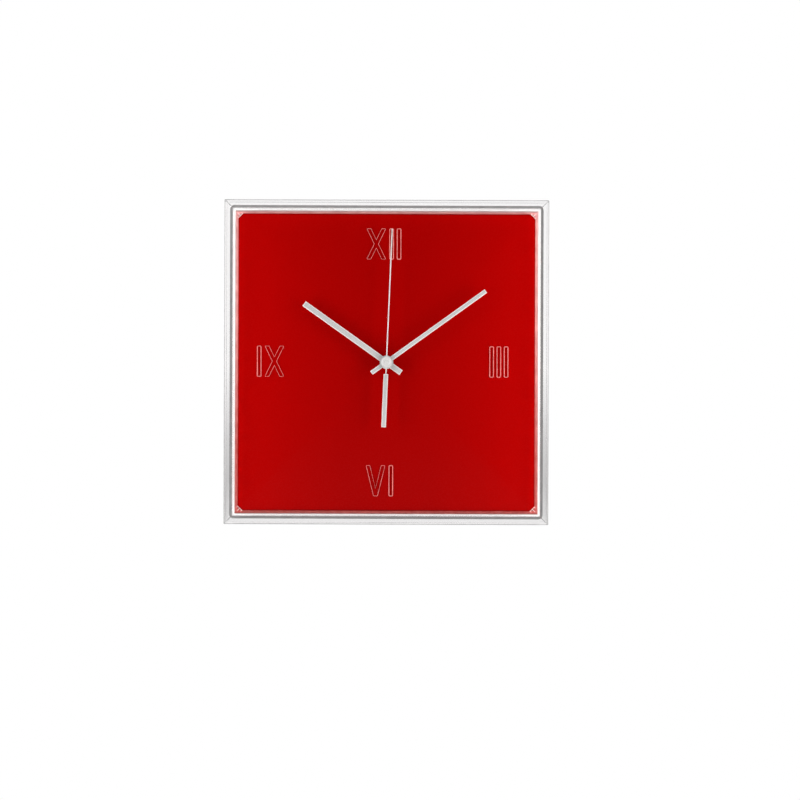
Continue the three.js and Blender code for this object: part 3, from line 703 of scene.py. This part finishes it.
def dial():
    OUTLINE, INSIDE, SIDE = 1, 2, 3  # the slots after the plain red face
    SOFT, EDGE_WIDTH, EDGE_FALL = 0.2 * MM, 1.1 * MM, 0.25 * MM
    RIB_HALF, CREST, SHOULDER, SUNK = 0.4 * MM, 0.4, 0.25 * MM, 0.3 * MM
    SLIM = 0.55
    UPRIGHT_CORNER, SLANTED_CORNER = 1.3 * MM, 0.9 * MM
    FIELD_INSET, FIELD_TALL, FIELD_SUNK = 0.72 * MM, 0.03 * MM, 0.1 * MM

    def octagon(shrink):
        half = DIAL_HALF - shrink
        short = DIAL_HALF - CUT_CORNER - shrink * math.tan(math.radians(22.5))
        return [(half, -short), (half, short), (short, half), (-short, half),
                (-half, short), (-half, -short), (-short, -half), (short, -half)]

    bm = bmesh.new()
    levels = [
        (SOFT, DIAL_BACK), (0, DIAL_BACK + SOFT),
        (0, DIAL_FRONT - EDGE_FALL), (EDGE_WIDTH, DIAL_FRONT),
    ]
    rings = [ring(bm, octagon(shrink), depth) for shrink, depth in levels]
    for one, two in zip(rings, rings[1:]):
        bridge(bm, one, two, SIDE)
    bored(bm, rings[0], DIAL_BACK, rings[-1], DIAL_FRONT, 0.5)
    section = [
        (-RIB_HALF, DIAL_FRONT - SUNK), (-RIB_HALF, DIAL_FRONT + SHOULDER),
        (-RIB_HALF * CREST, DIAL_FRONT + RIB_HEIGHT), (RIB_HALF * CREST, DIAL_FRONT + RIB_HEIGHT),
        (RIB_HALF, DIAL_FRONT + SHOULDER), (RIB_HALF, DIAL_FRONT - SUNK),
    ]
    for outline in letter_outlines():
        slanted = len(outline) > 4
        slim, corner = (SLIM, SLANTED_CORNER) if slanted else (1, UPRIGHT_CORNER)
        rib = [(side * slim, depth) for side, depth in section]
        swept_rib(bm, rounded(shrunk(outline, RIB_HALF), corner - RIB_HALF), rib, OUTLINE)
        # Inside an upright letter a darker red field stands as painted shade between its ribs.
        if not slanted:
            field = rounded(shrunk(outline, FIELD_INSET), corner - 2 * RIB_HALF)
            prism(bm, field, DIAL_FRONT - FIELD_SUNK, DIAL_FRONT + FIELD_TALL, slot=INSIDE)
    obj = from_bmesh("dial_detail", bm, RED, RIB_HIGHLIGHT, FIELD_SHADE, DIAL_EDGE_SHADE)
    smooth(obj, 35)
    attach(obj, "frame")
    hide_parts("dial")


# Hands: flat blades with chamfered edges and round bosses, made pointing to twelve and then turned

FLAT, COINED_HIGHLIGHT, TURNED = range(3)


def unturned(x, z, height):
    """A point of a hand that lies at the origin and points to twelve."""
    return Vector((x, -height, z))


def boss_mesh(profile):
    """A round boss from a closed profile of (radius, height), turned round the hands' axis."""
    bm = bmesh.new()
    rings = [ring(bm, circle(radius), height, unturned) for radius, height in profile]
    for one, two in zip(rings, rings[1:] + rings[:1]):
        bridge(bm, one, two)
    return from_bmesh("boss", bm, HAND, HAND_EDGE_HIGHLIGHT, HUB)


def blade_mesh(bars, thickness, clear_radius):
    """Flat bars of (width, low end, high end) with coined edges in a painted highlight, cut away round the
    boss.
    """
    INSET, INSET_SHARE, DROP = 0.65 * MM, 0.22, 0.2 * MM
    bm = bmesh.new()
    for width, low, high in bars:
        half = width / 2
        outline = [(-half, low), (half, low), (half, high), (-half, high)]
        top = shrunk(outline, min(INSET, width * INSET_SHARE))
        rear = ring(bm, outline, 0, unturned)
        edge = ring(bm, outline, thickness - DROP, unturned)
        fore = ring(bm, top, thickness, unturned)
        bm.faces.new(rear)
        bm.faces.new(fore)
        bridge(bm, rear, edge, FLAT)
        bridge(bm, edge, fore, COINED_HIGHLIGHT)
    blade = from_bmesh("blade", bm, HAND, HAND_EDGE_HIGHLIGHT, HUB)
    bm = bmesh.new()
    prism(bm, circle(clear_radius), -2 * MM, 2 * MM, point=unturned)
    carve(blade, from_bmesh("boss_cutter", bm))
    return blade


def hand(node, body, angle, bars, profile, thickness, depth, boss_slot=FLAT):
    """A stamped hand: blade and boss with rounded edges, made pointing to twelve and turned to its time."""
    LAP = 0.4 * MM
    blade = blade_mesh(bars, thickness, max(radius for radius, _ in profile) - LAP)
    boss = boss_mesh(profile)
    bevel(blade, 0.06 * MM, 2, 60)
    bevel(boss, 0.12 * MM, 2)
    for polygon in boss.data.polygons:
        polygon.material_index = boss_slot
    bm = bmesh.new()
    for piece in (blade, boss):
        bm.from_mesh(piece.data)
        bpy.data.objects.remove(piece)
    turn = Matrix.Rotation(math.radians(angle), 4, "Y")
    bmesh.ops.transform(bm, matrix=Matrix.Translation(place(0, 0, depth)) @ turn, verts=bm.verts)
    obj = from_bmesh(f"{node}_detail", bm, HAND, HAND_EDGE_HIGHLIGHT, HUB)
    smooth(obj)
    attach(obj, body)
    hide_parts(node)


def hands():
    """Sizes in millimetres: blade width, length, tail, depth of the blade's back, and radius of the bore."""
    BOSS, BOSS_BACK, THICK = 6.2 * MM, -0.2 * MM, 0.8 * MM
    for node, body, angle, width, length, tail, depth, bore in (
        ("hour_hand", "hour", HOUR_ANGLE, 5.3, 93.6, 16.6, 34.4, 2.62),
        ("minute_hand", "minute", MINUTE_ANGLE, 3.9, 113.1, 17, 36.1, 1.72),
    ):
        hole = bore * MM
        profile = [(BOSS, BOSS_BACK), (BOSS, THICK), (hole, THICK), (hole, BOSS_BACK)]
        hand(node, body, angle, [(width * MM, -tail * MM, length * MM)], profile, THICK, depth * MM)
    thick = 0.6 * MM
    blade, counterweight = (1, -12, 123.4), (4.2, -60.2, -11)
    bars = [[size * MM for size in bar] for bar in (blade, counterweight)]
    dished = [
        (radius * MM, height * MM) for radius, height in
        ((5.1, 0), (5.1, 0.8), (4, 0.8), (3.7, 0.45), (3, 0.45), (2.7, 0.7), (1.17, 0.7), (1.17, 0))
    ]
    hand("second_hand", "second", SECOND_ANGLE, bars, dished, thick, 38.2 * MM, TURNED)


# Movement and fasteners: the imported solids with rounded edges


def movement():
    """Each piece with its body, its material and how wide its edges are rounded, in millimetres."""
    for node, body, material, width in (
        ("movement_base", "frame", BLACK, 0.35), ("movement_cover", "frame", BLACK, 0.2),
        ("setting_knob", "setting", BLACK, 0.15), ("threaded_bushing", "frame", BRASS, 0.1),
        ("rubber_gasket", "frame", RUBBER, 0.15), ("steel_washer", "frame", STEEL, 0.1),
        ("hex_nut", "frame", BRASS, 0.2), ("second_hand_tube", "second", TUBE, 0.08),
        ("positive_contact", "frame", STEEL, 0.06), ("negative_contact", "frame", STEEL, 0.06),
    ):
        obj = refined(node, body, material, width * MM)
    carrier_screws()
    cover_relief()
    knob_relief()
    keyhole_lip()


def carrier_screws():
    CROSS = (20, 110)
    for i in range(len(SCREW_PLACES)):
        obj = refined(f"carrier_screw_{i + 1}", "frame", STEEL, 0.12 * MM)
        low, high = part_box(f"carrier_screw_{i + 1}")
        middle = ((low.x + high.x) / 2 - AXIS_X, (low.z + high.z) / 2 - AXIS_Z)
        for degrees in CROSS:
            carve(obj, recess_bar(middle, -high.y, degrees))
        smooth(obj)


SUNK = 0.1 * MM  # how far a raised detail reaches into the face under it


def bar_outline(middle, length, width, degrees):
    turn = Matrix.Rotation(math.radians(degrees), 2)
    corners = ((1, -1), (1, 1), (-1, 1), (-1, -1))
    return [Vector(middle) + turn @ Vector((x * length / 2, z * width / 2)) for x, z in corners]


def recess_bar(middle, head_back, degrees):
    """The cutting tool for one of the two slots of a screw's cross recess."""
    LENGTH, WIDTH, DEEP = 3.1 * MM, 0.62 * MM, 0.9 * MM
    bm = bmesh.new()
    prism(bm, bar_outline(middle, LENGTH, WIDTH, degrees), head_back - 1 * MM, head_back + DEEP)
    return from_bmesh("recess_cutter", bm)


def ring_relief(bm, middle, radius, width, tall, base, start=0.0, sweep=360.0, steps=48):
    """A raised ring or arc on a wall-side face, sunk a little into it, with its crest softened."""
    half, crest, shoulder = width / 2, width * 0.3, tall * 0.6
    section = [
        (-half, base + SUNK), (half, base + SUNK), (half, base - shoulder),
        (crest, base - tall), (-crest, base - tall), (-half, base - shoulder),
    ]
    rings = []
    for i in range(steps + 1):
        angle = math.radians(start + sweep * i / steps)
        across = Vector((math.cos(angle), math.sin(angle)))
        points = [(Vector(middle) + across * (radius + side), depth) for side, depth in section]
        rings.append([bm.verts.new(place(point.x, point.y, depth)) for point, depth in points])
    for one, two in zip(rings, rings[1:]):
        bridge(bm, one, two)
    if sweep < 360:
        bm.faces.new(rings[0])
        bm.faces.new(list(reversed(rings[-1])))


def relief(name, bm, body):
    """Moulded detail that stands on a piece of the movement."""
    obj = from_bmesh(name, bm, BLACK)
    smooth(obj)
    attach(obj, body)


def cover_relief():
    """What is moulded on the movement's rear cover: border, pivot bosses, arrows, grip ribs and poles.
    Places and lengths in these lists are millimetres."""
    BASE, TALL = MOVEMENT_BACK, 0.35 * MM
    BORDER = ((0, 25, 50, 0), (0, -9.4, 50, 0), (-25, 7.8, 33.6, 90), (25, 7.8, 33.6, 90))
    PIVOTS = ((0, 0), (-10.759, -0.941), (10.636, 1.875), (12.81, 9.989))
    ARROW_RADIUS, ARROW_SWEEP, ARROW_HALF, ARROW_LENGTH = 8.4 * MM, 95, 1.2 * MM, 1.9 * MM
    GRIPS, GRIP_PITCH, GRIP_PLACE = 7, 1.05, (17.5, 20)
    PLUS, MINUS, POLE_SIZE = (21.5, -6), (-21.5, -6), (3, 0.6)
    bm = bmesh.new()

    def bar(x, z, length, width, degrees=0.0, height=TALL):
        outline = bar_outline((x * MM, z * MM), length * MM, width * MM, degrees)
        prism(bm, outline, BASE - height, BASE + SUNK, 0.12 * MM)

    for x, z, length, degrees in BORDER:
        bar(x, z, length, 0.8, degrees)
    for x, z in PIVOTS:
        ring_relief(bm, (x * MM, z * MM), 1.5 * MM, 0.9 * MM, TALL, BASE)
    for start in (20, 200):
        ring_relief(bm, KNOB_AT, ARROW_RADIUS, 0.7 * MM, TALL, BASE, start, ARROW_SWEEP, 24)
        end = math.radians(start + ARROW_SWEEP)
        across = Vector((math.cos(end), math.sin(end)))
        head = Vector(KNOB_AT) + across * ARROW_RADIUS
        ahead = turned_left(across)
        side = turned_left(ahead) * ARROW_HALF
        tip = head + ahead * ARROW_LENGTH
        prism(bm, [head - side, tip, head + side], BASE - TALL, BASE + SUNK, 0.1 * MM)
    for i in range(GRIPS):
        bar(GRIP_PLACE[0] + i * GRIP_PITCH, GRIP_PLACE[1], 6.5, 0.5, 90)
    bar(*PLUS, *POLE_SIZE)
    bar(*PLUS, *POLE_SIZE, 90, TALL * 0.97)
    bar(*MINUS, *POLE_SIZE)
    relief("cover_relief", bm, "frame")


def knob_relief():
    """A raised centre and a pointer on the setting knob's flat face."""
    TALL = 0.25 * MM
    back = -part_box("setting_knob")[1].y
    bm = bmesh.new()
    ring_relief(bm, KNOB_AT, 4.6 * MM, 0.6 * MM, TALL, back)
    prism(bm, circle(1.6 * MM, 32, KNOB_AT), back - 0.3 * MM, back + SUNK, 0.15 * MM)
    pointer = bar_outline((KNOB_AT[0], KNOB_AT[1] + 3 * MM), 1.8 * MM, 0.5 * MM, 90)
    prism(bm, pointer, back - TALL, back + SUNK, 0.1 * MM)
    relief("knob_relief", bm, "setting")


def keyhole_lip():
    """The lip that stiffens the hanger tab round its keyhole."""
    HEAD, SLOT = (0, 32.5 * MM), (0, 35.5 * MM)
    HEAD_RADIUS, SLOT_RADIUS = 5.3 * MM, 3.1 * MM
    HEAD_START, HEAD_SWEEP = 126, 288
    SLOT_START, SLOT_SWEEP = 20, 140
    WIDTH, TALL = 0.8 * MM, 0.6 * MM
    bm = bmesh.new()
    ring_relief(bm, HEAD, HEAD_RADIUS, WIDTH, TALL, MOVEMENT_BACK, HEAD_START, HEAD_SWEEP, 40)
    ring_relief(bm, SLOT, SLOT_RADIUS, WIDTH, TALL, MOVEMENT_BACK, SLOT_START, SLOT_SWEEP, 20)
    relief("keyhole_lip", bm, "frame")


def battery_jacket():
    """A dark sleeve with a copper-coloured band at the positive end, and bare steel ends."""
    STEEL_END, SLEEVE, BAND = (0.5, 0.5, 0.5), (0.03, 0.035, 0.045), (0.5, 0.22, 0.06)
    STOPS = ((0, STEEL_END), (0.02, SLEEVE), (0.72, BAND), (0.965, STEEL_END))
    look = Look("battery_jacket", (0.03, 0.035, 0.04), 0.3, 0.3)
    low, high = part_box("battery")
    ramp = look.node("ShaderNodeValToRGB")
    look.link(look.spread(look.along("X"), 0, 1, low.x, high.x), ramp.inputs["Fac"])
    ramp.color_ramp.interpolation = "CONSTANT"
    color_stops(ramp, STOPS)
    look.colored(ramp.outputs["Color"])
    return look.rough(look.spread(look.grain(300, 3), 0.22, 0.38)).material


def plain_nodes():
    """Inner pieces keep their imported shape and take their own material."""
    by_material = {
        WHITE: ("gear_plate", "hour_wheel", "minute_wheel", "second_wheel", "third_wheel",
                "intermediate_wheel", "rotor_pinion", "motion_wheel", "coil_bobbin"),
        STEEL: ("second_shaft", "quartz_crystal"),
        MAGNET_STEEL: ("stator", "coil_core", "rotor_magnet"),
        COPPER: ("coil_winding",),
        BOARD: ("circuit_board",),
        RESIN: ("timing_chip",),
    }
    for material, nodes in by_material.items():
        for node in nodes:
            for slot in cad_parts[node].material_slots:
                slot.material = material


def battery():
    obj = refined("battery", "frame", battery_jacket(), 0.3 * MM, 3)


clear_case()
dial_carrier()
dial()
hands()
movement()
plain_nodes()
battery()


# Studio: a pale floor well below the clock, a white surround and soft lights

def studio_floor():
    """A wide pale disc below the clock that fades into the white surround."""
    RADIUS, DROP = 14, 2.5
    FADE_START, FADE_END = 4, 12
    bm = bmesh.new()
    bmesh.ops.create_circle(bm, cap_ends=True, radius=RADIUS, segments=128)
    floor = from_bmesh("studio_floor", bm)
    floor.location = (0, 0, AXIS_Z - DROP)
    look = Look("studio_floor", (0.9, 0.9, 0.9), 0.7)
    look.colored(look.tint(look.grain(3, 2), (0.88, 0.88, 0.88), (0.92, 0.92, 0.92)))
    distance = look.node("ShaderNodeVectorMath", operation="LENGTH")
    look.link(look.place, distance.inputs[0])
    glow = look.spread(distance.outputs["Value"], 0, 1, FADE_START, FADE_END)
    blend = look.node("ShaderNodeMixShader")
    white = look.node("ShaderNodeEmission")
    look.link(glow, blend.inputs["Fac"])
    look.link(look.shader.outputs["BSDF"], blend.inputs[1])
    look.link(white.outputs["Emission"], blend.inputs[2])
    look.link(blend.outputs["Shader"], look.tree.nodes["Material Output"].inputs["Surface"])
    floor.data.materials.append(look.material)


def area_light(name, position, width, power, tall=None):
    """A soft lamp aimed at the middle of the clock's front. The camera doesn't see it."""
    data = bpy.data.lights.new(name, "AREA")
    data.energy = power
    data.size = width
    if tall:
        data.shape = "RECTANGLE"
        data.size_y = tall
    lamp = bpy.data.objects.new(name, data)
    lamp.location = position
    aim = Vector((AXIS_X, -CASE_DEPTH, AXIS_Z)) - Vector(position)
    lamp.rotation_euler = aim.to_track_quat("-Z", "Y").to_euler()
    lamp.visible_camera = False
    bpy.context.scene.collection.objects.link(lamp)


def surround():
    """White behind the clock and dim behind the camera, so that the dial doesn't mirror a bright room. A
    slightly darker band lies along the horizon. The camera itself sees plain white."""
    BRIGHT, DIM, DIM_LEVEL = 0.1, -0.6, 0.03
    HORIZON = ((-0.085, 1), (-0.05, 0.8), (-0.03, 0.6), (-0.015, 0.7), (0.012, 1))
    first, last = HORIZON[0][0], HORIZON[-1][0]
    world = bpy.data.worlds.new("studio")
    world.use_nodes = True
    tree = world.node_tree
    direction = tree.nodes.new("ShaderNodeTexCoord").outputs["Generated"]
    parts = tree.nodes.new("ShaderNodeSeparateXYZ")
    shade = ranged(tree, DIM, BRIGHT, DIM_LEVEL, 1)
    height = ranged(tree, first, last, 0, 1)
    ramp = tree.nodes.new("ShaderNodeValToRGB")
    both = tree.nodes.new("ShaderNodeMath")
    both.operation = "MULTIPLY"
    seen = tree.nodes.new("ShaderNodeMath")
    seen.operation = "MAXIMUM"
    camera_ray = tree.nodes.new("ShaderNodeLightPath").outputs["Is Camera Ray"]
    color_stops(ramp, [((where - first) / (last - first), (level,) * 3) for where, level in HORIZON])
    for output, target in (
        (direction, parts.inputs["Vector"]), (parts.outputs["Y"], shade.inputs["Value"]),
        (parts.outputs["Z"], height.inputs["Value"]), (height.outputs["Result"], ramp.inputs["Fac"]),
        (shade.outputs["Result"], both.inputs[0]), (ramp.outputs["Color"], both.inputs[1]),
        (both.outputs["Value"], seen.inputs[0]), (camera_ray, seen.inputs[1]),
        (seen.outputs["Value"], tree.nodes["Background"].inputs["Color"]),
    ):
        tree.links.new(output, target)
    bpy.context.scene.world = world


def studio():
    SIDE, AHEAD, LEVEL = 0.62, -0.32, AXIS_Z - 0.05
    NARROW, TALL = 0.22, 1.0
    surround()
    bpy.context.scene.view_settings.view_transform = "Standard"
    area_light("top", (-0.1, -0.85, AXIS_Z + 1.2), 0.8, 2.2)
    area_light("left", (-SIDE, AHEAD, LEVEL), NARROW, 5.1, TALL)
    area_light("right", (SIDE, AHEAD, LEVEL), NARROW, 5.9, TALL)


studio_floor()
studio()
